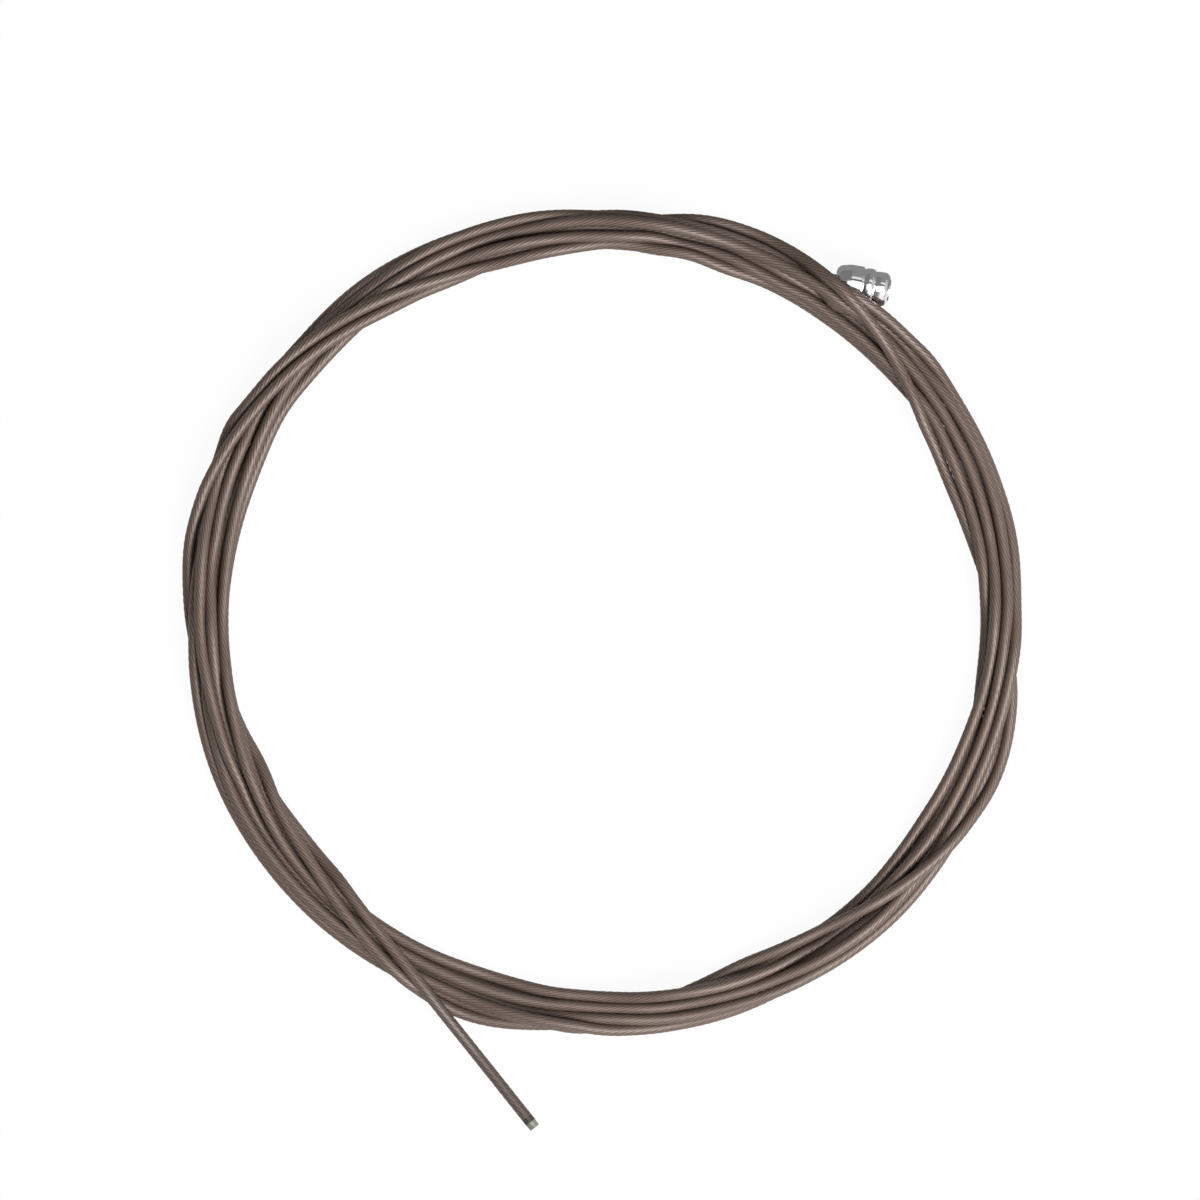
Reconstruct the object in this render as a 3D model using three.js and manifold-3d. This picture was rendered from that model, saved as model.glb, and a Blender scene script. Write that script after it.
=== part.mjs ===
// A bicycle shift cable, wound up as it is sold: a coil of thin coated steel strand,
// a straight free end that crosses over the coil, and a die-cast head on the other end.
// Millimetres, +Z up. The coil lies flat on the plane Z = 0 and the origin is the middle
// of the whole cable's outline on that plane. Angles are measured from +X towards +Y.

import * as THREE from 'three';
import { mergeVertices } from 'three/addons/utils/BufferGeometryUtils.js';
import Module from 'manifold-3d';

// Cable and coil
const cable_diameter = 1.2;
const coil_inner_radius = 40.1;
const widest_row_lanes = 4;
const lane_pitch_share = 0.89;
const row_rise_share = 0.87;
const lane_arc_points = 4;
const coil_segments = 88;

// Free end: a straight line in plan, just inside the innermost turn where it starts
const free_end_angle_deg = 218;
const free_end_length = 37.8;
const free_end_sides = 8;
const free_end_step = 2.4;
const free_end_slack = 0.4;

// Head
const head_radius = 2.04;
const head_length = 5.9;
const head_entry_round = 0.8;
const head_shoulder_drop = 0.18;
const head_crown = 0.06;
const head_far_round = 0.7;
const head_far_crown = 0.12;
const head_far_face_radius = 1.0;
const groove_depth = 0.26;
const groove_width = 0.42;
const first_groove_at = 3.02;
const second_groove_at = 4.21;
const middle_band_drop = 0.06;
const far_band_drop = 0.22;
const head_angle_deg = 55.56;
const head_tuck = 0.74;
const head_turn_deg = -10;
const head_segments = 40;

// Hump of the outer turns that ride over the head's rounded end, one on the other
const hump_turns = 2;
const hump_radius = 0.9;
const hump_inset = 1.3;
const hump_reach = 9.8;
const hump_sides = 10;
const hump_steps = 18;

// Clearance between neighbouring solids
const clearance = 0.3;

const degrees = Math.PI / 180;
const cable_radius = cable_diameter / 2;
const lane_pitch = lane_pitch_share * cable_diameter;
const row_rise = row_rise_share * cable_diameter;
const coil_width = (widest_row_lanes - 1) * lane_pitch + cable_diameter;
const coil_height = cable_diameter + 2 * row_rise;
const coil_outer_radius = coil_inner_radius + coil_width;

// The free end's line in plan, about the coil's middle: its nearest point and its way.
const free_end_angle = free_end_angle_deg * degrees;
const free_end_foot = new THREE.Vector2(Math.cos(free_end_angle), Math.sin(free_end_angle))
  .multiplyScalar(coil_inner_radius - clearance - cable_radius);
const free_end_way = new THREE.Vector2(-Math.sin(free_end_angle), Math.cos(free_end_angle));
const free_end_tip = free_end_foot.clone().addScaledVector(free_end_way, free_end_length);
const free_end_lowest_y = free_end_tip.y - cable_radius * Math.abs(free_end_way.x);

// The coil's middle, so that the origin is the middle of the whole outline.
const coil_middle_y = -(coil_outer_radius + free_end_lowest_y) / 2;

const coil_finish = new THREE.MeshStandardMaterial({ color: 0x6a5c54, roughness: 0.42, metalness: 0.55 });
const head_finish = new THREE.MeshStandardMaterial({ color: 0xc9c9cc, roughness: 0.16, metalness: 1 });

const wasm = await Module();
wasm.setup();

// A three.js geometry as a solid that can be cut.
function toSolid(geometry) {
  const bare = geometry.clone();
  bare.deleteAttribute('normal');
  bare.deleteAttribute('uv');
  const merged = mergeVertices(bare, 1e-5);
  return new wasm.Manifold(new wasm.Mesh({
    numProp: 3,
    vertProperties: new Float32Array(merged.attributes.position.array),
    triVerts: new Uint32Array(merged.index.array),
  }));
}

// A cut solid as a three.js geometry again.
function toGeometry(solid) {
  const mesh = solid.getMesh();
  const geometry = new THREE.BufferGeometry();
  geometry.setAttribute('position', new THREE.BufferAttribute(new Float32Array(mesh.vertProperties), 3));
  geometry.setIndex(new THREE.BufferAttribute(new Uint32Array(mesh.triVerts), 1));
  geometry.computeVertexNormals();
  return geometry;
}

// Points of a short arc about a centre, from one angle to another.
function arc(x, y, radius, from, to, count) {
  const points = [];
  for (let i = 0; i <= count; i += 1) {
    const angle = from + (to - from) * i / count;
    points.push(new THREE.Vector2(x + radius * Math.cos(angle), y + radius * Math.sin(angle)));
  }
  return points;
}

// Section of the coil: turns nestled in three rows, the middle row one lane wider than the
// others. The underside is flat, where the coil lies. Radius is x and height is y.
function coilSection() {
  const row = (lanes, level) => {
    const middle = coil_inner_radius + coil_width / 2;
    return Array.from({ length: lanes }, (_, i) => new THREE.Vector2(
      middle + (i - (lanes - 1) / 2) * lane_pitch,
      cable_radius + level * row_rise,
    ));
  };
  const bottom = row(widest_row_lanes - 1, 0);
  const middle = row(widest_row_lanes, 1);
  const top = row(widest_row_lanes - 1, 2);
  const ring = [bottom.at(-1), middle.at(-1), ...top.reverse(), middle[0], bottom[0]];

  const points = [];
  let from = -Math.PI / 2;
  ring.forEach((center, i) => {
    const next = ring[i + 1];
    let to = (3 / 2) * Math.PI;
    let start = 0;
    if (next) {
      const between = next.clone().sub(center);
      const opening = Math.acos(between.length() / cable_diameter);
      to = between.angle() - opening;
      start = between.angle() + Math.PI + opening;
    }
    while (to < from) to += 2 * Math.PI;
    while (to - from > 2 * Math.PI) to -= 2 * Math.PI;
    const cuts = arc(center.x, center.y, cable_radius, from, to, lane_arc_points);
    points.push(...(i ? cuts.slice(1) : cuts));
    from = start;
  });
  points.push(points[0].clone());
  return points;
}

// A turned profile is made about +Y, so it is laid over to stand on another axis.
const about_z = new THREE.Matrix4().makeRotationX(Math.PI / 2);
const about_x = new THREE.Matrix4().makeRotationZ(-Math.PI / 2);

// Half outline of the head, from the cable's side to the far face: x is the radius and y runs
// along the head. It has a round shoulder, a crowned barrel, two grooves and a round far edge.
function headProfile() {
  const barrel = head_radius;
  const middle_band = barrel - middle_band_drop;
  const far_band = barrel - far_band_drop;
  const shoulder = arc(barrel - head_shoulder_drop - head_entry_round, head_entry_round,
    head_entry_round, -Math.PI / 2, 0, 6);
  const half_groove = groove_width / 2;
  const groove = (at, before, after) => [
    new THREE.Vector2(before, at - half_groove),
    new THREE.Vector2(before - groove_depth, at - half_groove / 3),
    new THREE.Vector2(before - groove_depth, at + half_groove / 3),
    new THREE.Vector2(after, at + half_groove),
  ];
  const far_edge = arc(far_band - head_far_round, head_length - head_far_crown - head_far_round,
    head_far_round, 0, Math.PI / 2, 5);
  return [
    new THREE.Vector2(0, 0),
    ...shoulder,
    new THREE.Vector2(barrel - head_shoulder_drop / 4, (head_entry_round + first_groove_at) / 2),
    ...groove(first_groove_at, barrel, middle_band - head_crown / 2),
    new THREE.Vector2(middle_band, (first_groove_at + second_groove_at) / 2),
    ...groove(second_groove_at, middle_band - head_crown / 2, far_band - head_crown / 2),
    ...far_edge,
    new THREE.Vector2(head_far_face_radius, head_length),
    new THREE.Vector2(0, head_length),
  ];
}

// Where the head lies: on the plane Z = 0, with the cable's side tucked into the coil's edge.
const head_angle = head_angle_deg * degrees;
const head_turn = head_turn_deg * degrees;
const head_entry = new THREE.Vector2(Math.cos(head_angle), Math.sin(head_angle))
  .multiplyScalar(coil_outer_radius - head_tuck);
const head_place = new THREE.Matrix4()
  .makeTranslation(head_entry.x, coil_middle_y + head_entry.y, head_radius)
  .multiply(new THREE.Matrix4().makeRotationZ(head_turn))
  .multiply(about_x);

// The room that the coil leaves for the head: its barrel with the clearance all round.
function headRoom() {
  const room_radius = (head_radius + clearance) / Math.cos(Math.PI / head_segments);
  const room_length = head_length + 2 * clearance;
  const outline = [
    new THREE.Vector2(0, -clearance),
    new THREE.Vector2(room_radius, -clearance),
    new THREE.Vector2(room_radius, room_length),
    new THREE.Vector2(0, room_length),
  ];
  return new THREE.LatheGeometry(outline, head_segments).applyMatrix4(head_place);
}

// A plain round tube along a curve, with flat ends.
function tube(way, radius, sides, steps) {
  const ring = arc(0, 0, radius, Math.PI / sides, (2 + 1 / sides) * Math.PI, sides).slice(0, -1);
  return new THREE.ExtrudeGeometry(new THREE.Shape(ring), { steps, extrudePath: way, bevelEnabled: false });
}

// The outer turns' hump: out of the coil, over the head a cable's width inside the coil's edge,
// and into the coil again.
function hump() {
  const over_head = head_entry.clone().add(
    new THREE.Vector2(Math.cos(head_turn), Math.sin(head_turn)).multiplyScalar(hump_inset),
  );
  const round = coil_outer_radius - cable_diameter;
  const foot = coil_height / 2;
  const rise = 2 * head_radius + hump_turns * lane_pitch - hump_radius - foot;
  const points = [];
  for (let i = 0; i <= hump_steps; i += 1) {
    const share = 2 * i / hump_steps - 1;
    const angle = over_head.angle() + share * hump_reach / round;
    points.push(new THREE.Vector3(
      round * Math.cos(angle),
      coil_middle_y + round * Math.sin(angle),
      foot + rise * Math.cos(share * Math.PI / 2) ** 2,
    ));
  }
  return tube(new THREE.CatmullRomCurve3(points), hump_radius, hump_sides, hump_steps);
}

// The coil: one closed ring of the turns' outer shape, with its hump and with room for the head.
function coil() {
  const turned = new THREE.LatheGeometry(coilSection(), coil_segments)
    .applyMatrix4(about_z)
    .applyMatrix4(new THREE.Matrix4().makeTranslation(0, coil_middle_y, 0));
  const cut = toSolid(turned).add(toSolid(hump())).subtract(toSolid(headRoom()));
  return new THREE.Mesh(toGeometry(cut), coil_finish);
}

// The free end's way over the turns, as [distance along its line, share of its greatest lift].
// It comes up from the coil's inner side, crosses over and comes down to the plane Z = 0.
const free_end_lift = coil_height + clearance + free_end_slack;
const free_end_lifts = [
  [-4.0, 0.2], [-1.0, 0.28], [2.0, 0.4], [5.0, 0.6], [8.0, 0.81], [11.0, 0.95], [14.0, 1.0],
  [17.0, 1.0], [20.0, 0.94], [23.0, 0.8], [26.0, 0.61], [29.0, 0.4], [32.0, 0.19], [34.5, 0.04],
];

// The free end: a plain tube, with flat ends.
function freeEnd() {
  const at = (along, share) => new THREE.Vector3(
    free_end_foot.x + along * free_end_way.x,
    coil_middle_y + free_end_foot.y + along * free_end_way.y,
    cable_radius + share * free_end_lift,
  );
  const route = free_end_lifts
    .filter(([along]) => along < free_end_length - cable_diameter)
    .map(([along, share]) => at(along, share));
  route.push(at(free_end_length - cable_diameter, 0));
  route.push(at(free_end_length, 0));
  const way = new THREE.CatmullRomCurve3(route, false, 'centripetal');
  const steps = Math.round(way.getLength() / free_end_step);
  return new THREE.Mesh(tube(way, cable_radius, free_end_sides, steps), coil_finish);
}

// The head: one turned-looking casting.
function head() {
  const body = new THREE.LatheGeometry(headProfile(), head_segments).applyMatrix4(head_place);
  return new THREE.Mesh(body, head_finish);
}

const shift_cable = new THREE.Group();
for (const [name, make] of [['coil', coil], ['free_end', freeEnd], ['head', head]]) {
  const mesh = make();
  mesh.name = name;
  shift_cable.add(mesh);
}

export default shift_cable;
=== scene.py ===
"""A bicycle shift cable wound up in a flat coil, with its cast head and its cut free end.

The cable is one twisted strand. Its turns are given, one list for each turn, and then settle
on the table, on the head and on each other. Lengths are in millimetres until a mesh is made, and in
metres in the finishes and the studio.
"""

import math

import bpy
import numpy as np
from mathutils import Matrix, Vector


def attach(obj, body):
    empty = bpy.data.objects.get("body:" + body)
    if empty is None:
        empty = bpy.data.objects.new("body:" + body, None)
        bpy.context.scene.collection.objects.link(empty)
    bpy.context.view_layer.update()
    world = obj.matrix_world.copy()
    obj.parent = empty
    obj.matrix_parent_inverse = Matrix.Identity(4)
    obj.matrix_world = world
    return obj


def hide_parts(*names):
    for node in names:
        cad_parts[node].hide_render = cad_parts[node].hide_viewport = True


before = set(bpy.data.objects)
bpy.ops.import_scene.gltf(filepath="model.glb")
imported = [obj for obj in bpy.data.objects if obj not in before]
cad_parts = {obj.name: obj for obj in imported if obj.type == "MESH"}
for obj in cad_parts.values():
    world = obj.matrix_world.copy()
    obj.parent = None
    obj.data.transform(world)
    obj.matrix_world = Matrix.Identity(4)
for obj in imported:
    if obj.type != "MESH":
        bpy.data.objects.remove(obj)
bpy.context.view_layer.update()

MM = 0.001

# Cable: a strand of twisted wires in a thin coating
CABLE_DIAMETER = 1.2
CABLE_RADIUS = CABLE_DIAMETER / 2
OUTER_WIRES = 12
WIRE_RADIUS = 0.124
CROWN_RADIUS = 0.62
WIRE_RING = CROWN_RADIUS - WIRE_RADIUS
VALLEY_RADIUS = 0.59
POINTS_TO_A_WIRE = 3
LAY_LENGTH = 10.5
RING_STEP = 0.76
STRAND_MAP = "round_and_along"

# Back from the cut tip: fused wires, a burnt band, and painted shade that darkens and greys the stretch
# outside the coil
CUT_END_SIZE = 0.9
FUSED_LENGTH = 0.85
BURNT_LENGTH = 1.4
LONE_SHADE_LENGTH = 21.0
LONE_SHADE_FADE = 4.0

# Coil
COIL_MIDDLE_Y = 4.893
MEAN_RADIUS = 42.0

# Head: its axis runs from HEAD_ENTRY along HEAD_WAY, and HEAD_UPPER is up from it in the picture
HEAD_RADIUS = 2.04
HEAD_LENGTH = 5.9
HEAD_ENTRY_ROUND = 0.8
HEAD_TURN = math.radians(-10)
HEAD_ENTRY = np.array([24.7504, 40.986, HEAD_RADIUS])
HEAD_WAY = np.array([math.cos(HEAD_TURN), math.sin(HEAD_TURN), 0.0])
HEAD_UPPER = (-math.sin(HEAD_TURN), math.cos(HEAD_TURN), 0.0)

# Camera: the photograph's frame, seen from straight above
PIXEL = 0.1062
PHOTO_SIZE = 1200
COIL_MIDDLE_PIXEL = (602, 621)
CAMERA_HEIGHT = 3000.0
CAMERA_REACH = 10.0
SENSOR = 36.0


def add_camera():
    half = PHOTO_SIZE / 2
    middle_x = (half - COIL_MIDDLE_PIXEL[0]) * PIXEL
    middle_y = COIL_MIDDLE_Y - (half - COIL_MIDDLE_PIXEL[1]) * PIXEL
    bpy.ops.object.camera_add(location=(middle_x * MM, middle_y * MM, CAMERA_HEIGHT * MM))
    camera = bpy.context.object
    camera.data.sensor_width = SENSOR
    camera.data.lens = SENSOR * (CAMERA_HEIGHT - CABLE_DIAMETER) / (PHOTO_SIZE * PIXEL)
    camera.data.clip_end = CAMERA_REACH
    bpy.context.scene.camera = camera


# The cable's turns, from the head on, as (degrees wound, radius, layer). Degrees are counted
# anticlockwise from the top of the picture, and layer 0 lies on the table. Six turns lie in
# the bundle, and the rest is wound round them.
TURNS = [
    [
        (-34.5, 43.90, 1), (-25, 41.35, 1), (-17, 40.20, 1), (-8, 40.00, 1), (5, 40.25, 1),
        (20, 40.55, 1), (40, 40.90, 1), (60, 41.15, 0), (75, 41.15, 0), (88, 41.40, 0),
        (96, 42.20, 0.6), (105, 42.95, 1.4), (120, 43.30, 2), (135, 42.95, 2), (155, 42.45, 2),
        (170, 42.85, 2), (180, 43.20, 2), (195, 43.65, 1.3), (209, 43.40, 0.5), (216, 42.90, 0.2),
        (224, 41.75, 0), (232, 41.25, 0), (243, 41.10, 0), (253, 41.25, 0.3), (262, 40.75, 1),
        (270, 40.80, 1.2), (290, 40.90, 1.2), (302, 41.10, 1.3),
    ],
    [
        (315, 40.65, 2), (335, 40.65, 2), (355, 40.80, 2), (370, 40.90, 2), (385, 41.15, 2),
        (402, 40.80, 1.5), (415, 40.72, 1.5), (430, 40.22, 1.4), (450, 40.35, 1), (480, 40.35, 1),
        (500, 40.15, 1.5), (520, 39.70, 1.6), (535, 39.90, 1.6), (550, 40.34, 1.6), (565, 41.11, 1.6),
        (580, 41.50, 1.6), (587, 41.40, 1.6), (595, 41.70, 1.7), (610, 42.10, 2), (625, 42.90, 2),
        (640, 43.35, 2), (655, 43.70, 2), (670, 43.55, 2), (675, 43.45, 2), (678, 43.05, 1.5),
        (680, 42.75, 1.2), (683, 42.45, 1), (686, 42.50, 1),
    ],
    [
        (690, 42.80, 1.3), (700, 42.95, 1.3), (715, 42.85, 1.5), (730, 43.40, 2), (740, 43.50, 2),
        (750, 43.20, 2), (762, 42.65, 1.8), (780, 42.60, 1.5), (795, 42.18, 1.5), (810, 41.58, 1.5),
        (825, 41.35, 1.3), (845, 41.00, 1), (870, 40.55, 1), (900, 40.55, 1), (925, 40.40, 1),
        (945, 40.30, 1.8), (957, 40.30, 2), (970, 40.58, 2), (985, 41.52, 2), (1000, 42.05, 2),
        (1020, 42.36, 2),
    ],
    [
        (1030, 42.35, 2.2), (1040, 42.40, 2.4), (1055, 42.28, 3), (1080, 42.50, 3), (1100, 42.30, 2.4),
        (1113, 41.95, 1.8), (1135, 41.45, 2), (1150, 40.65, 2), (1165, 40.25, 2), (1180, 40.30, 2),
        (1195, 40.85, 2), (1213, 41.40, 2), (1235, 41.00, 2), (1260, 41.10, 2), (1275, 41.75, 2),
        (1290, 42.65, 2), (1305, 43.20, 2), (1320, 43.20, 2), (1335, 43.45, 2), (1350, 43.87, 1.5),
        (1370, 44.35, 1.2), (1390, 44.19, 1.3), (1396, 44.15, 1.6), (1400, 43.90, 2.6),
        (1402, 43.80, 3.2), (1404, 43.65, 3.3), (1406, 43.40, 2.4),
    ],
    [
        (1410, 43.05, 1.4), (1415, 43.05, 1), (1440, 43.00, 1), (1465, 43.65, 1), (1475, 43.80, 1),
        (1490, 43.35, 1), (1510, 43.35, 2), (1530, 42.60, 2), (1550, 42.15, 2), (1565, 42.20, 2),
        (1580, 41.95, 1.3), (1605, 42.05, 1), (1622, 42.45, 1.4), (1635, 43.00, 2), (1650, 43.62, 2),
        (1665, 44.08, 1.6), (1680, 43.88, 1), (1690, 43.80, 0.7), (1697, 43.45, 0.6),
        (1715, 43.35, 0.5), (1730, 43.10, 0.5), (1740, 42.55, 0), (1748, 42.05, 0), (1756, 41.85, 0),
    ],
    [
        (1770, 41.60, 1), (1795, 41.75, 1), (1830, 42.05, 1), (1860, 42.55, 1), (1885, 43.27, 1.4),
        (1892, 43.35, 1.4), (1898, 43.58, 1.5), (1904, 43.80, 1.5), (1915, 43.93, 1.4), (1932, 43.70, 1),
        (1955, 43.10, 1), (1970, 43.05, 1), (2004, 42.15, 0), (2015, 42.30, 0), (2030, 42.70, 0.5),
        (2050, 42.62, 0.5), (2054, 42.48, 0.5), (2059, 42.13, 0.5), (2066, 42.25, 0.7),
        (2085, 42.05, 1), (2100, 41.12, 1), (2110, 40.42, 1),
    ],
    [
        (2120, 40.12, 1), (2137, 39.92, 1), (2157, 40.20, 1), (2166, 39.70, 1.6), (2175, 39.50, 3),
        (2183, 39.95, 3), (2195, 41.40, 3), (2207, 43.00, 3), (2214, 43.76, 3), (2221, 44.08, 2.7),
        (2229, 44.12, 1.5), (2237, 43.75, 0), (2252, 41.75, 0), (2265, 40.15, 1), (2276, 39.62, 3),
        (2287, 39.95, 3), (2300, 41.50, 3), (2312, 43.45, 3), (2321, 44.10, 2.6), (2334, 43.00, 0),
        (2347, 41.10, 0), (2357, 39.95, 1.5), (2365, 39.58, 3), (2375, 40.20, 3), (2387, 42.20, 3),
        (2398, 44.00, 3), (2410, 44.99, 2.2), (2423, 43.65, 0), (2438, 40.75, 0), (2447, 39.90, 1.5),
        (2452, 39.68, 3), (2464, 40.52, 3), (2477, 42.45, 3),
    ],
    [
        (2488, 43.75, 3), (2496, 44.15, 2.6), (2504, 43.85, 1.5), (2514, 42.70, 0), (2530, 40.65, 0),
        (2543, 39.66, 1.5), (2553, 40.05, 3), (2567, 41.75, 3), (2580, 43.24, 3), (2589, 44.18, 2.8),
        (2597, 44.55, 2.5), (2608, 43.85, 0.3), (2622, 42.05, 0), (2637, 39.70, 0),
    ],
]

# The free end leaves the bundle's inner side along a straight line, and crosses over it. The line
# passes LINE_RADIUS from the coil's middle, where LINE_NEAREST degrees are wound. Its layers are
# (degrees wound, layer).
LINE_RADIUS = 39.08
LINE_NEAREST = 2648.5
LINE_END = 2692.45
LINE_LAYERS = [
    (2642, 0.8), (2646, 1.4), (2652, 2.5), (2658, 3.6), (2674, 3.6), (2678, 2.6), (2682, 1.2), (2687, 0),
]

# Settling: in each round the turns straighten, sag, keep to the way they were laid, and are then
# pushed off each other, off the head and off the table
WOUND_STEP = 2
TURN_STEPS = 360 // WOUND_STEP
LAYER_RISE = 1.25
SETTLE_ROUNDS = 1500
STIFF_UP = 0.35
STIFF_ASIDE = 0.2
SAG = 0.012
LATE_SAG = 0.003
LATE_SHARE = 0.8
HOLD = 0.05
PUSHES_A_ROUND = 3
PUSH_UP = 0.5
PUSH_ASIDE = 0.25
STEEPEST = 1.2
HELD_BY_HEAD = 9
HEAD_PUSH_ASIDE = 0.5
HEAD_PROBE = 1e-3
NO_DISTANCE = 1e-9
NO_SLOPE = 1e-6
FINE_STEPS = 8


def smooth_through(at, known_at, known):
    """A curve through given points that never overshoots them."""
    width = np.diff(known_at)
    slope = np.diff(known) / width
    tangent = np.zeros_like(known)
    same = slope[:-1] * slope[1:] > 0
    near = 2 * width[1:] + width[:-1]
    far = width[1:] + 2 * width[:-1]
    shared = near[same] / slope[:-1][same] + far[same] / slope[1:][same]
    tangent[1:-1][same] = (near + far)[same] / shared
    tangent[0], tangent[-1] = slope[0], slope[-1]
    i = np.clip(np.searchsorted(known_at, at) - 1, 0, len(width) - 1)
    t = (at - known_at[i]) / width[i]
    start = (1 + 2 * t) * (1 - t) ** 2 * known[i] + t * (1 - t) ** 2 * width[i] * tangent[i]
    end = t * t * (3 - 2 * t) * known[i + 1] + t * t * (t - 1) * width[i] * tangent[i + 1]
    return start + end


def bend_out(values, share):
    """Moves each value towards the smooth curve through its neighbours, as a stiff cable does."""
    between = (-values[:-4] + 4 * values[1:-3] + 4 * values[3:-1] - values[4:]) / 6
    values[2:-2] += share * (between - values[2:-2])


def steepness(radius):
    """How much wider a slanting cable is across the coil than along its own section."""
    slope = np.gradient(radius) / (math.radians(WOUND_STEP) * MEAN_RADIUS)
    return np.clip(np.sqrt(1 + slope * slope), 1, STEEPEST)


def push_apart(radius, height):
    """The pushes sideways and up or down that part the turns, by a share of each overlap."""
    count = len(radius)
    steep = steepness(radius)
    aside, up, touches = np.zeros(count), np.zeros(count), np.zeros(count)
    for lag in range(TURN_STEPS, count, TURN_STEPS):
        one, other = slice(0, count - lag), slice(lag, count)
        across = (radius[other] - radius[one]) / np.maximum(steep[one], steep[other])
        above = height[other] - height[one]
        apart = np.hypot(across, above) + NO_DISTANCE
        overlap = np.maximum(0, CABLE_DIAMETER - apart)
        for side, sign in ((one, -1), (other, 1)):
            aside[side] += sign * PUSH_ASIDE * overlap * across / apart
            up[side] += sign * PUSH_UP * overlap * above / apart
            touches[side] += overlap > 0
    share = 1 / np.sqrt(np.maximum(touches, 1))
    return aside * share, up * share


def head_gap(points):
    """Distance from points to the head's outside."""
    from_entry = points - HEAD_ENTRY
    along = from_entry @ HEAD_WAY
    from_axis = np.linalg.norm(from_entry - along[:, None] * HEAD_WAY, axis=1)
    out = from_axis - (HEAD_RADIUS - HEAD_ENTRY_ROUND)
    past = np.abs(along - HEAD_LENGTH / 2) - (HEAD_LENGTH / 2 - HEAD_ENTRY_ROUND)
    corner = np.hypot(np.maximum(out, 0), np.maximum(past, 0))
    return corner + np.minimum(np.maximum(out, past), 0) - HEAD_ENTRY_ROUND


def in_space(radius, height, clock):
    return np.column_stack([radius * np.sin(clock), COIL_MIDDLE_Y + radius * np.cos(clock), height])


def clear_head(radius, height, clock, free):
    """Moves the free points that press into the head out of it."""
    points = in_space(radius, height, clock)
    gap = head_gap(points)
    outward = np.column_stack([np.sin(clock), np.cos(clock), np.zeros(len(clock))])
    by_height = (head_gap(points + [0, 0, HEAD_PROBE]) - gap) / HEAD_PROBE
    by_radius = (head_gap(points + HEAD_PROBE * outward) - gap) / HEAD_PROBE
    slope = by_height ** 2 + by_radius ** 2 + NO_SLOPE
    depth = np.where(free, np.maximum(0, CABLE_RADIUS - gap), 0) / slope
    height += depth * by_height
    radius += HEAD_PUSH_ASIDE * depth * by_radius


def line_radius(wound):
    """The free end's distance from the coil's middle, along its straight line."""
    return LINE_RADIUS / np.cos(np.radians(wound - LINE_NEAREST))


def laid_turns(wound):
    """The radius and height of the turns as they are listed."""
    keys = np.array([key for turn in TURNS for key in turn], float)
    line = np.array(LINE_LAYERS, float)
    known_at = np.append(keys[:, 0], line[:, 0])
    known_radius = np.append(keys[:, 1], line_radius(line[:, 0]))
    known_layer = np.append(keys[:, 2], line[:, 1])
    by_keys = smooth_through(wound, known_at, known_radius)
    radius = np.where(wound >= line[0, 0], line_radius(wound), by_keys)
    height = CABLE_RADIUS + LAYER_RISE * smooth_through(wound, known_at, known_layer)
    return radius, height


def settled_turns():
    """The cable's centreline, from the head to the cut tip."""
    wound = np.arange(TURNS[0][0][0], LINE_END, WOUND_STEP)
    clock = np.radians(-wound)
    laid, height = laid_turns(wound)
    radius = laid.copy()
    free = wound > wound[0] + HELD_BY_HEAD
    for settle_round in range(SETTLE_ROUNDS):
        bend_out(height, STIFF_UP)
        bend_out(radius, STIFF_ASIDE)
        height -= SAG if settle_round < LATE_SHARE * SETTLE_ROUNDS else LATE_SAG
        radius += HOLD * (laid - radius)
        for _ in range(PUSHES_A_ROUND):
            aside, up = push_apart(radius, height)
            radius += aside
            height += up
            clear_head(radius, height, clock, free)
            np.maximum(height, CABLE_RADIUS, out=height)
            height[0] = HEAD_RADIUS
            radius[0] = laid[0]
    radius = np.append(radius, line_radius(LINE_END))
    height = np.append(height, height[-1])
    return in_space(radius, height, np.append(clock, math.radians(-LINE_END)))


def evenly_spaced(points, step):
    """Points at even steps along a smooth curve through the given ones, and their distances along it."""
    before, after = 2 * points[0] - points[1], 2 * points[-1] - points[-2]
    padded = np.vstack([before, points, after])
    t = np.linspace(0, 1, FINE_STEPS + 1)[:-1, None]
    pieces = []
    for a, b, c, d in zip(padded, padded[1:], padded[2:], padded[3:]):
        curved = 2 * a - 5 * b + 4 * c - d + t * (3 * (b - c) + d - a)
        pieces.append(b + 0.5 * t * (c - a + t * curved))
    fine = np.vstack(pieces + [points[-1:]])
    travelled = np.append(0, np.cumsum(np.linalg.norm(np.diff(fine, axis=0), axis=1)))
    at = np.linspace(0, travelled[-1], round(travelled[-1] / step) + 1)
    return np.column_stack([np.interp(at, travelled, fine[:, k]) for k in range(3)]), at


def strand_outline():
    """Radii round the strand's section: the crowns of its outer wires, with coating in the valleys."""
    steps = OUTER_WIRES * POINTS_TO_A_WIRE
    from_crown = (np.arange(steps) % POINTS_TO_A_WIRE - 1) * (2 * math.pi / steps)
    rise = np.maximum(0, WIRE_RADIUS ** 2 - (WIRE_RING * np.sin(from_crown)) ** 2)
    return np.maximum(WIRE_RING * np.cos(from_crown) + np.sqrt(rise), VALLEY_RADIUS)


def across_strand(centres):
    """Unit vectors across the strand at each centre: one level, and one upward from it."""
    way = np.gradient(centres, axis=0)
    way /= np.linalg.norm(way, axis=1)[:, None]
    level = np.cross(way, [0, 0, 1])
    level /= np.linalg.norm(level, axis=1)[:, None]
    return level, np.cross(level, way)


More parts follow.
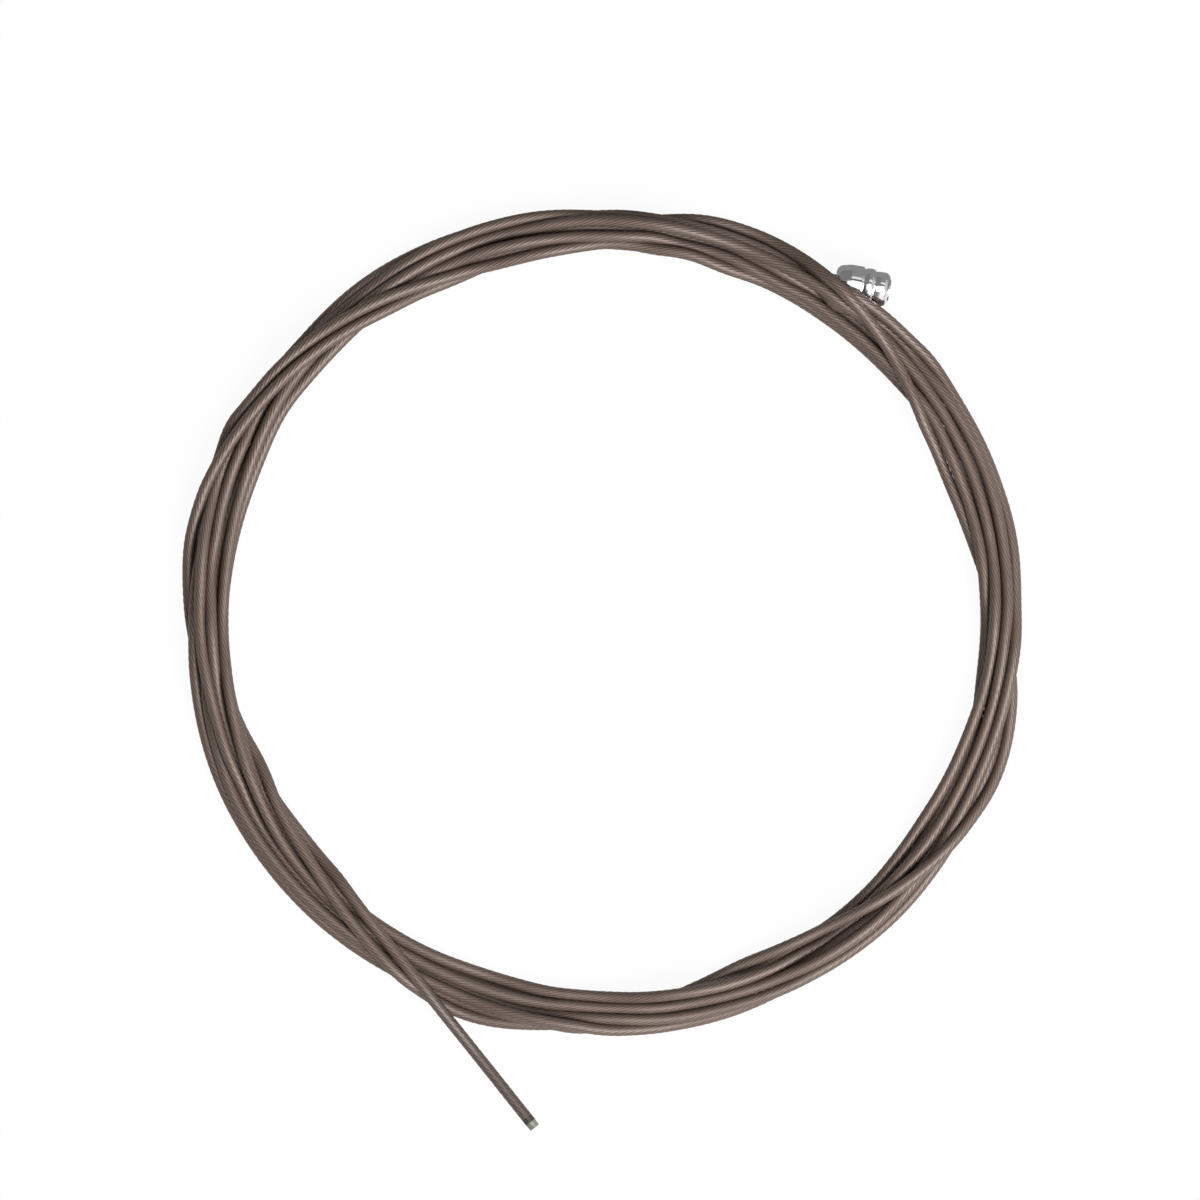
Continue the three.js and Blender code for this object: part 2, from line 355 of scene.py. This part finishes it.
def strand_mesh(name, centres, at):
    """A closed tube with the outer wires' twisted crowns, and a map of (round the strand, along it)."""
    outline = strand_outline()
    sides, rings = len(outline), len(centres)
    level, up = across_strand(centres)
    angle = 2 * math.pi * (np.arange(sides)[None, :] / sides + at[:, None] / LAY_LENGTH)
    out = np.cos(angle)[..., None] * level[:, None] + np.sin(angle)[..., None] * up[:, None]
    size = np.where(np.arange(rings) == rings - 1, CUT_END_SIZE, 1.0)
    points = (centres[:, None] + (size[:, None] * outline)[..., None] * out).reshape(-1, 3) * MM
    ring, j = np.meshgrid(np.arange(rings - 1), np.arange(sides), indexing="ij")
    after = (j + 1) % sides
    this, following = ring * sides, (ring + 1) * sides
    quads = np.stack([this + j, following + j, following + after, this + after], -1)
    faces = quads.reshape(-1, 4).tolist()
    caps = [list(range(sides)), list(range((rings - 1) * sides, rings * sides))[::-1]]
    mesh = bpy.data.meshes.new(name)
    mesh.from_pydata(points.tolist(), [], faces + caps)
    round_at = np.stack([j, j, j + 1, j + 1], -1) / sides
    along_at = np.stack([at[ring], at[ring + 1], at[ring + 1], at[ring]], -1) * MM
    wrapped = np.stack([round_at, along_at], -1).reshape(-1, 2)
    cap_round = np.tile(np.arange(sides) / sides, 2)
    cap_along = np.repeat([at[0], at[-1]], sides) * MM
    layer = mesh.uv_layers.new(name=STRAND_MAP)
    layer.data.foreach_set("uv", np.vstack([wrapped, np.column_stack([cap_round, cap_along])]).ravel())
    mesh.polygons.foreach_set("use_smooth", [True] * len(faces) + [False] * 2)
    fused = (at[:-1] > at[-1] - FUSED_LENGTH).repeat(sides).tolist()
    mesh.polygons.foreach_set("material_index", [int(tip) for tip in fused] + [0, 1])
    mesh.validate()
    strand = bpy.data.objects.new(name, mesh)
    bpy.context.collection.objects.link(strand)
    return strand


class NodeTree:
    """Short calls for the nodes that the finishes and the studio use."""

    def __init__(self, tree):
        self.nodes = tree.nodes
        self.links = tree.links

    def add(self, kind, inputs=(), **settings):
        node = self.nodes.new(kind)
        for key, value in settings.items():
            setattr(node, key, value)
        for socket, source in inputs:
            self.feed(node, socket, source)
        return node

    def feed(self, node, socket, source):
        """Sets a node's input to a value, or links it to another node's output."""
        if isinstance(source, bpy.types.NodeSocket):
            self.links.new(source, node.inputs[socket])
        else:
            node.inputs[socket].default_value = source

    def math(self, operation, *numbers):
        return self.add("ShaderNodeMath", enumerate(numbers), operation=operation).outputs[0]

    def dot(self, place, direction):
        inputs = [(0, place), (1, direction)]
        return self.add("ShaderNodeVectorMath", inputs, operation="DOT_PRODUCT").outputs["Value"]

    def mix(self, share, a, b):
        inputs = [("Factor", share), (6, a), (7, b)]
        return self.add("ShaderNodeMix", inputs, data_type="RGBA").outputs[2]

    def mix_shaders(self, share, a, b):
        return self.add("ShaderNodeMixShader", [(0, share), (1, a), (2, b)]).outputs[0]

    def ramp(self, value, stops):
        node = self.add("ShaderNodeValToRGB", [(0, value)])
        first, last = node.color_ramp.elements
        first.position, first.color = stops[0]
        last.position, last.color = stops[-1]
        for position, colour in stops[1:-1]:
            node.color_ramp.elements.new(position).color = colour
        return node.outputs[0]


class Finish(NodeTree):
    """A material on one Principled shader."""

    def __init__(self, name):
        self.material = bpy.data.materials.new(name)
        self.material.use_nodes = True
        super().__init__(self.material.node_tree)
        self.shader = self.nodes["Principled BSDF"]

    def noise(self, scale, detail):
        place = self.add("ShaderNodeTexCoord").outputs["Object"]
        inputs = [("Vector", place), ("Scale", scale), ("Detail", detail)]
        return self.add("ShaderNodeTexNoise", inputs).outputs[0]

    def tint(self, base, colour, where, share):
        """The base colour, turned towards another by up to a share where a pattern is 1."""
        return self.mix(self.math("MULTIPLY", where, share), base, colour)

    def surface(self, colour, metallic, roughness):
        self.feed(self.shader, "Base Color", colour)
        self.feed(self.shader, "Metallic", metallic)
        self.feed(self.shader, "Roughness", roughness)

    def bump(self, height, strength, distance):
        inputs = [("Height", height), ("Strength", strength), ("Distance", distance)]
        self.feed(self.shader, "Normal", self.add("ShaderNodeBump", inputs).outputs[0])


def grey(value):
    return value, value, value, 1


# Finishes
COATING_DARK = (0.132, 0.088, 0.070, 1)
COATING_PALE = (0.214, 0.152, 0.121, 1)
WIRE_BROWN = (0.185, 0.145, 0.123, 1)
WORN_BROWN = (0.30, 0.235, 0.200, 1)
# Painted shade over the stretch outside the coil
LONE_PAINTED_SHADE = (0.110, 0.098, 0.098, 1)
# Painted shade for the valleys between the outer wires
VALLEY_PAINTED_SHADE = (0.032, 0.019, 0.013, 1)
BURNT_BLACK = (0.030, 0.028, 0.022, 1)
FUSED_DARK = (0.15, 0.15, 0.125, 1)
FUSED_PALE = (0.30, 0.30, 0.26, 1)
CASTING_DARK = (0.90, 0.90, 0.91, 1)
CASTING_PALE = (0.95, 0.95, 0.95, 1)


def coated_strand(length):
    """Dark brown coating over twisted steel wires, worn paler in fine specks, with painted shade in the
    valleys.
    """
    finish = Finish("coated_strand")
    place = finish.add("ShaderNodeUVMap", uv_map=STRAND_MAP).outputs[0]
    split = finish.add("ShaderNodeSeparateXYZ", [(0, place)])
    round_at, along_at = split.outputs[0], split.outputs[1]
    wires = finish.math("MULTIPLY", round_at, OUTER_WIRES)
    across = finish.math("PINGPONG", wires, 0.5)
    # Painted shade: the colour darkens in the valleys between the outer wires, where shade falls
    valley_shade = finish.ramp(across, [(0.03, grey(1)), (0.3, grey(0))])
    wire = finish.math("FLOOR", wires)
    wire_tone = finish.add("ShaderNodeTexWhiteNoise", [("W", wire)], noise_dimensions="1D").outputs[0]
    patches = finish.noise(900.0, 3.0)
    fine = finish.noise(6000.0, 2.0)
    # Painted shade: the stretch outside the coil is darkened and greyed in the colour
    lone_start = length - LONE_SHADE_LENGTH
    fade = [(0, along_at), (1, lone_start * MM), (2, (lone_start + LONE_SHADE_FADE) * MM)]
    lone_shade = finish.add("ShaderNodeMapRange", fade).outputs[0]
    burnt = finish.math("GREATER_THAN", along_at, (length - BURNT_LENGTH) * MM)
    colour = finish.mix(patches, COATING_DARK, COATING_PALE)
    colour = finish.tint(colour, WIRE_BROWN, wire_tone, 0.35)
    colour = finish.tint(colour, WORN_BROWN, fine, 0.35)
    colour = finish.tint(colour, LONE_PAINTED_SHADE, lone_shade, 0.5)
    colour = finish.tint(colour, VALLEY_PAINTED_SHADE, valley_shade, 0.75)
    colour = finish.tint(colour, BURNT_BLACK, burnt, 0.7)
    finish.surface(colour, 0.15, finish.math("MULTIPLY_ADD", fine, 0.2, 0.34))
    finish.bump(fine, 0.25, 0.00003)
    return finish.material


def fused_tip():
    """The last millimetre, where the wires are fused together and the coating has burnt pale."""
    finish = Finish("fused_tip")
    grain = finish.noise(3000.0, 4.0)
    finish.surface(finish.mix(grain, FUSED_DARK, FUSED_PALE), 0.2, 0.5)
    finish.bump(grain, 0.4, 0.00005)
    return finish.material


def bright_casting():
    """Smooth bright die casting, with faint casting grain."""
    finish = Finish("bright_casting")
    grain = finish.noise(2500.0, 3.0)
    roughness = finish.math("MULTIPLY_ADD", grain, 0.08, 0.08)
    finish.surface(finish.mix(grain, CASTING_DARK, CASTING_PALE), 1.0, roughness)
    finish.bump(grain, 0.06, 0.00005)
    return finish.material


# Head: bands and grooves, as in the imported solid, with finer rounds
HEAD_SIDES = 128
ROUND_POINTS = 12
SHOULDER_DROP = 0.18
SHOULDER_ENDS = 1.75
RISE_STARTS = HEAD_ENTRY_ROUND + 0.06
RISE_POINTS = 8
HEAD_CROWN = 0.06
MIDDLE_BAND_DROP = 0.06
FAR_BAND_DROP = 0.22
FAR_ROUND = 0.7
FAR_CROWN = 0.12
FAR_FACE_RADIUS = 1.0
FAR_RIM_DROP = 0.02
FAR_RIM_WIDTH = 0.12
CREASE_ANGLE = math.radians(38)

# Grooves: one side of their section, as shares of the half width and of the depth
GROOVES_AT = (3.02, 4.21)
GROOVE_DEPTH = 0.19
GROOVE_HALF = 0.24
GROOVE_SIDE = [(-1.0, 0.0), (-0.86, 0.16), (-0.66, 0.55), (-0.42, 0.86), (-0.15, 1.0)]


def arc(middle, radius, start_deg, end_deg):
    """Points of a short arc in a (distance along, radius) plane, from one angle to another."""
    angles = np.radians(np.linspace(start_deg, end_deg, ROUND_POINTS))
    return [(middle[0] + radius * math.cos(a), middle[1] + radius * math.sin(a)) for a in angles]


def groove(at, before, after):
    """A ring groove between two bands' radii, with a rounded floor GROOVE_DEPTH below the first."""
    far_depth = after - before + GROOVE_DEPTH
    near = [(at + GROOVE_HALF * x, before - GROOVE_DEPTH * share) for x, share in GROOVE_SIDE]
    far = [(at - GROOVE_HALF * x, after - far_depth * share) for x, share in reversed(GROOVE_SIDE)]
    return near + far


def head_stations():
    """The head's half outline from the cable's side, as (distance along, radius)."""
    barrel = HEAD_RADIUS
    middle_band = HEAD_RADIUS - MIDDLE_BAND_DROP
    far_band = HEAD_RADIUS - FAR_BAND_DROP
    shoulder_middle = (HEAD_ENTRY_ROUND, barrel - SHOULDER_DROP - HEAD_ENTRY_ROUND)
    far_middle = (HEAD_LENGTH - FAR_CROWN - FAR_ROUND, far_band - FAR_ROUND)
    rise = []
    for at in np.linspace(RISE_STARTS, SHOULDER_ENDS, RISE_POINTS):
        left = (SHOULDER_ENDS - at) / (SHOULDER_ENDS - HEAD_ENTRY_ROUND)
        rise.append((at, barrel - SHOULDER_DROP * left ** 2))
    return (
        arc(shoulder_middle, HEAD_ENTRY_ROUND, 180, 104)
        + rise
        + [((SHOULDER_ENDS + GROOVES_AT[0]) / 2, barrel)]
        + groove(GROOVES_AT[0], barrel, middle_band - HEAD_CROWN / 2)
        + [(sum(GROOVES_AT) / 2, middle_band)]
        + groove(GROOVES_AT[1], middle_band - HEAD_CROWN / 2, far_band - HEAD_CROWN / 2)
        + arc(far_middle, FAR_ROUND, 90, 0)
        + [(HEAD_LENGTH - FAR_RIM_DROP, FAR_FACE_RADIUS + FAR_RIM_WIDTH), (HEAD_LENGTH, FAR_FACE_RADIUS)]
    )


def cast_head():
    """The head, drawn out of one round face station by station, then laid on its side in place."""
    bpy.ops.object.select_all(action="DESELECT")
    stations = head_stations()
    bpy.ops.mesh.primitive_circle_add(
        vertices=HEAD_SIDES, radius=stations[0][1] * MM, fill_type="NGON", location=(0, 0, 0)
    )
    head = bpy.context.object
    head.name = "cast_head"
    bpy.ops.object.mode_set(mode="EDIT")
    bpy.ops.mesh.select_all(action="SELECT")
    for (at, radius), (next_at, next_radius) in zip(stations, stations[1:]):
        bpy.ops.mesh.extrude_region_move(TRANSFORM_OT_translate={"value": (0, 0, (next_at - at) * MM)})
        grow = next_radius / radius
        bpy.ops.transform.resize(value=(grow, grow, 1))
    bpy.ops.mesh.select_all(action="SELECT")
    bpy.ops.mesh.normals_make_consistent(inside=False)
    bpy.ops.object.mode_set(mode="OBJECT")
    bpy.ops.object.shade_smooth_by_angle(angle=CREASE_ANGLE)
    lay_down = Matrix.Rotation(HEAD_TURN, 4, "Z") @ Matrix.Rotation(math.radians(90), 4, "Y")
    head.data.transform(Matrix.Translation(Vector(HEAD_ENTRY * MM)) @ lay_down)
    return head


# Studio
FLOOR_SIZE = 3.0
FLOOR_DROP = -0.00002
FLOOR_GREY = 0.80
FLOOR_WHITE_SHARE = 0.95
FILL_COLOUR = (1.0, 0.86, 0.76, 1)
FILL = 0.105
LAMP_SIZE = 0.8
LAMP_DISTANCE = 1.5
LAMP_TILT = math.radians(38)
LAMP_CLOCK = math.radians(132)
LAMP_POWER = 24.5
TOP_LAMP_SIZE = 1.0
TOP_LAMP_POWER = 4.0

# What bright metal mirrors, by the angle from overhead towards the head's upper side, in degrees:
# a white studio below, a dark slit, a bright line, and a grey wall above. Off the head's ends it
# mirrors darker on the cable's side and lighter on the other.
MIRRORED_WALL = 0.25
MIRRORED = [
    (-180, 1.0), (21, 1.0), (23, 0.06), (32, 0.06), (34, 0.9), (44, 0.9),
    (49, MIRRORED_WALL), (180, MIRRORED_WALL),
]
MIRRORED_LEFT, LEFT_STARTS = 0.19, -0.05
MIRRORED_RIGHT, RIGHT_STARTS = 0.6, 0.55


def add_floor():
    """A pale floor: white to the camera but for a faint shadow, and mirrored grey beyond the head."""
    bpy.ops.object.select_all(action="DESELECT")
    bpy.ops.mesh.primitive_plane_add(size=FLOOR_SIZE, location=(0, 0, FLOOR_DROP))
    floor = bpy.context.object
    floor.name = "studio_floor"
    finish = Finish("studio_floor")
    finish.surface(grey(FLOOR_GREY), 0.0, 1.0)
    finish.feed(finish.shader, "Specular IOR Level", 0.0)
    path = finish.add("ShaderNodeLightPath").outputs
    white = finish.add("ShaderNodeEmission", [("Color", grey(1))]).outputs[0]
    wall = finish.add("ShaderNodeEmission", [("Color", grey(MIRRORED_WALL))]).outputs[0]
    place = finish.add("ShaderNodeTexCoord").outputs["Object"]
    head_line = float(np.dot(HEAD_ENTRY * MM, HEAD_UPPER))
    beyond = finish.math("GREATER_THAN", finish.dot(place, HEAD_UPPER), head_line)
    mirrored = finish.math("MAXIMUM", path["Is Glossy Ray"], path["Is Transmission Ray"])
    walled = finish.math("MULTIPLY", mirrored, beyond)
    to_metal = finish.mix_shaders(walled, finish.shader.outputs[0], wall)
    seen = finish.math("MULTIPLY", path["Is Camera Ray"], FLOOR_WHITE_SHARE)
    mixed = finish.mix_shaders(seen, to_metal, white)
    finish.feed(finish.nodes["Material Output"], 0, mixed)
    floor.data.materials.append(finish.material)


def add_lamp(away, tilt, clock, size, power):
    """A square soft light that faces the coil, tilted from overhead towards a clock direction."""
    aside = math.sin(tilt)
    place = Vector((aside * math.sin(clock), aside * math.cos(clock), math.cos(tilt))) * away
    facing = place.to_track_quat("Z", "Y").to_euler()
    bpy.ops.object.light_add(type="AREA", location=place, rotation=facing)
    lamp = bpy.context.object
    lamp.data.shape = "SQUARE"
    lamp.data.size = size
    lamp.data.energy = power
    lamp.visible_camera = False


def mirrored_studio(tree):
    """The greys that bright metal mirrors, by direction."""
    way = tree.add("ShaderNodeTexCoord").outputs["Generated"]
    turned = tree.math("ARCTAN2", tree.dot(way, HEAD_UPPER), tree.dot(way, (0, 0, 1)))
    share = tree.math("ADD", tree.math("DIVIDE", turned, 2 * math.pi), 0.5)
    along = tree.dot(way, tuple(HEAD_WAY))
    left = tree.math("LESS_THAN", along, LEFT_STARTS)
    right = tree.math("GREATER_THAN", along, RIGHT_STARTS)
    colour = tree.ramp(share, [((degrees + 180) / 360, grey(value)) for degrees, value in MIRRORED])
    colour = tree.mix(left, colour, grey(MIRRORED_LEFT))
    return tree.mix(right, colour, grey(MIRRORED_RIGHT))


def add_world():
    """A dim warm fill, the studio that shiny surfaces mirror, and a pale backdrop for the camera."""
    world = bpy.data.worlds.new("studio_world")
    world.use_nodes = True
    bpy.context.scene.world = world
    tree = NodeTree(world.node_tree)
    fill = tree.nodes["Background"]
    tree.feed(fill, "Color", FILL_COLOUR)
    tree.feed(fill, "Strength", FILL)
    mirrored = tree.add("ShaderNodeBackground", [("Color", mirrored_studio(tree))]).outputs[0]
    backdrop = tree.add("ShaderNodeBackground").outputs[0]
    path = tree.add("ShaderNodeLightPath").outputs
    shiny = tree.math("MAXIMUM", path["Is Glossy Ray"], path["Is Transmission Ray"])
    lit = tree.mix_shaders(shiny, fill.outputs[0], mirrored)
    seen = tree.mix_shaders(path["Is Camera Ray"], lit, backdrop)
    tree.feed(tree.nodes["World Output"], 0, seen)


bpy.context.scene.view_settings.view_transform = "Standard"
add_camera()

centres, travelled = evenly_spaced(settled_turns(), RING_STEP)
centres[:, 2] = np.maximum(centres[:, 2], CROWN_RADIUS)
cable = strand_mesh("cable", centres, travelled)
cable.data.materials.append(coated_strand(travelled[-1]))
cable.data.materials.append(fused_tip())
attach(cable, "root")
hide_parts("coil", "free_end")

head = cast_head()
head.data.materials.append(bright_casting())
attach(head, "root")
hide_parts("head")

add_floor()
add_lamp(LAMP_DISTANCE, LAMP_TILT, LAMP_CLOCK, LAMP_SIZE, LAMP_POWER)
add_lamp(LAMP_DISTANCE, 0.0, 0.0, TOP_LAMP_SIZE, TOP_LAMP_POWER)
add_world()
